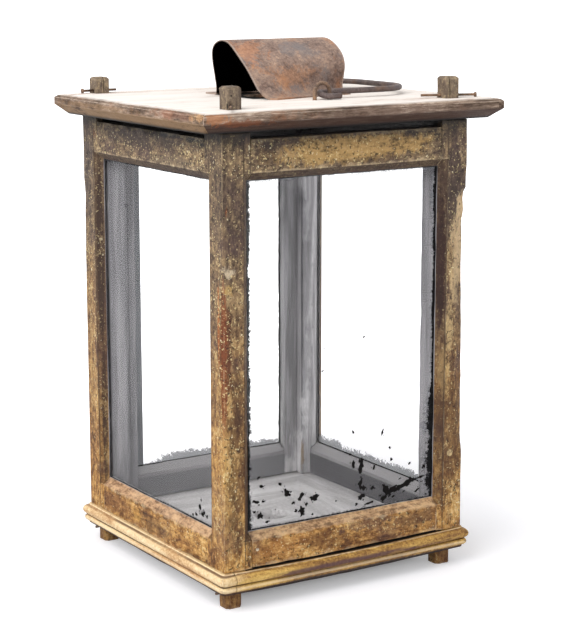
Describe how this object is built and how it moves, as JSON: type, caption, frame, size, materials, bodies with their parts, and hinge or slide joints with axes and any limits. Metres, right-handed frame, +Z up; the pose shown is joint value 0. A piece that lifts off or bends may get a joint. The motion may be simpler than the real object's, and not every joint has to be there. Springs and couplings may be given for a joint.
{
  "type": "candle lantern",
  "caption": "Glazed wooden candle lantern with tenoned posts, moulded base, nailed lid, sheet-iron smoke hood, swinging bail and a hinged back door.",
  "frame": {"origin": "centre of the body in plan, at the height of the undersides of the four feet", "axes": "+Z up, +X to the right of the front, -Y out of the front; the door is on the +Y side"},
  "size_m": [0.219, 0.193, 0.3395],
  "materials": {
    "wood_base": "worn satin",
    "wood_frame": "worn, grimy",
    "wood_lid": "bleached, bare",
    "pane": "old, scratched",
    "sheet_iron": "rusted sheet",
    "rod_iron": "dark, worn",
    "iron": "rusty"
  },
  "bodies": {
    "lantern": {"base_board": "wood_base", "post_front_left": "wood_frame", "post_front_right": "wood_frame", "post_back_left": "wood_frame", "post_back_right": "wood_frame", "front_top_rail": "wood_frame", "front_bottom_rail": "wood_base", "left_top_rail": "wood_frame", "left_bottom_rail": "wood_base", "right_top_rail": "wood_frame", "right_bottom_rail": "wood_base", "back_top_rail": "wood_frame", "front_glass": "pane", "left_glass": "pane", "right_glass": "pane", "hinge_post_leaves": "iron", "hinge_pins": "iron", "hinge_post_nails": "iron", "button_nail": "iron", "lid_board": "wood_lid", "vent_hood": "sheet_iron", "hood_tacks": "iron", "bail_staple_front": "iron", "bail_staple_back": "iron", "lid_nails": "iron", "foot_nails": "iron", "rail_nails": "iron"},
    "door": {"door_hinge_stile": "wood_frame", "door_free_stile": "wood_frame", "door_top_rail": "wood_frame", "door_bottom_rail": "wood_base", "door_glass": "pane", "hinge_door_leaves": "iron", "hinge_door_nails": "iron"},
    "turn_button": {"turn_button": "wood_frame"},
    "bail": {"bail": "rod_iron"}
  },
  "joints": [
    {"name": "door_hinge", "type": "hinge", "parent": "lantern", "child": "door", "pos_m": [0.0726, 0.09124, 0.15], "axis": [0, 0, -1], "range_deg": [0, 170]},
    {"name": "button_turn", "type": "hinge", "parent": "lantern", "child": "turn_button", "pos_m": [-0.0815, 0.0913, 0.153], "axis": [0, -1, 0], "range_deg": [0, 90]},
    {"name": "bail_swing", "type": "hinge", "parent": "lantern", "child": "bail", "pos_m": [0.0053, 0, 0.30734], "axis": [0, -1, 0], "range_deg": [0, 180]}
  ]
}
